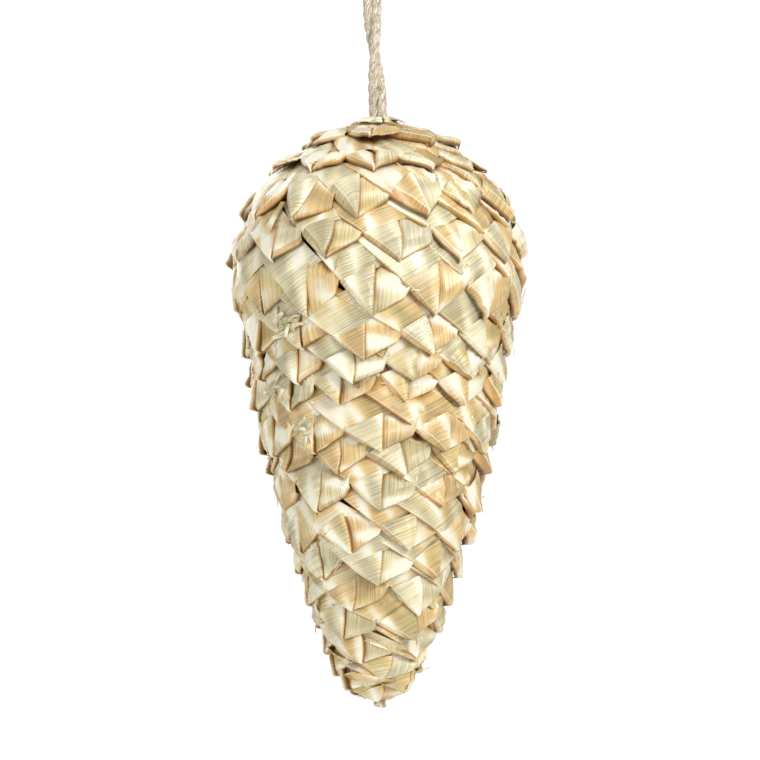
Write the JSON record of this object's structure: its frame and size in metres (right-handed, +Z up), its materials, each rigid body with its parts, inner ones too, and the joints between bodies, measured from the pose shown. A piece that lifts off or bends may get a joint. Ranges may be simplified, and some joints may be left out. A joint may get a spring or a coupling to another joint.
{
  "type": "pine cone ornament",
  "caption": "Hanging ornament shaped like a long pine cone, tip down, made of overlapping courses of saw-tooth straw plait, with a looped jute twine to hang it by.",
  "frame": {"origin": "inside the top of the hanging loop, where a hook bears", "axes": "+Z up along the cone's axis, from the tip to the crown; -Y is the front in the picture; the loop opens along Y"},
  "size_m": [0.102, 0.1018, 0.2843],
  "materials": {
    "straw_plait": "bleached palm-leaf straw, plaited and folded, silky along the fibre",
    "jute_twine": "raw jute twine, matt and hairy"
  },
  "bodies": {
    "root": {"plait_course_01": "straw_plait", "plait_course_02": "straw_plait", "plait_course_03": "straw_plait", "plait_course_04": "straw_plait", "plait_course_05": "straw_plait", "plait_course_06": "straw_plait", "plait_course_07": "straw_plait", "plait_course_08": "straw_plait", "plait_course_09": "straw_plait", "plait_course_10": "straw_plait", "plait_course_11": "straw_plait", "plait_course_12": "straw_plait", "plait_course_13": "straw_plait", "plait_course_14": "straw_plait", "plait_course_15": "straw_plait", "plait_course_16": "straw_plait", "plait_course_17": "straw_plait", "plait_course_18": "straw_plait", "plait_course_19": "straw_plait", "hanging_cord": "jute_twine"}
  },
  "joints": []
}
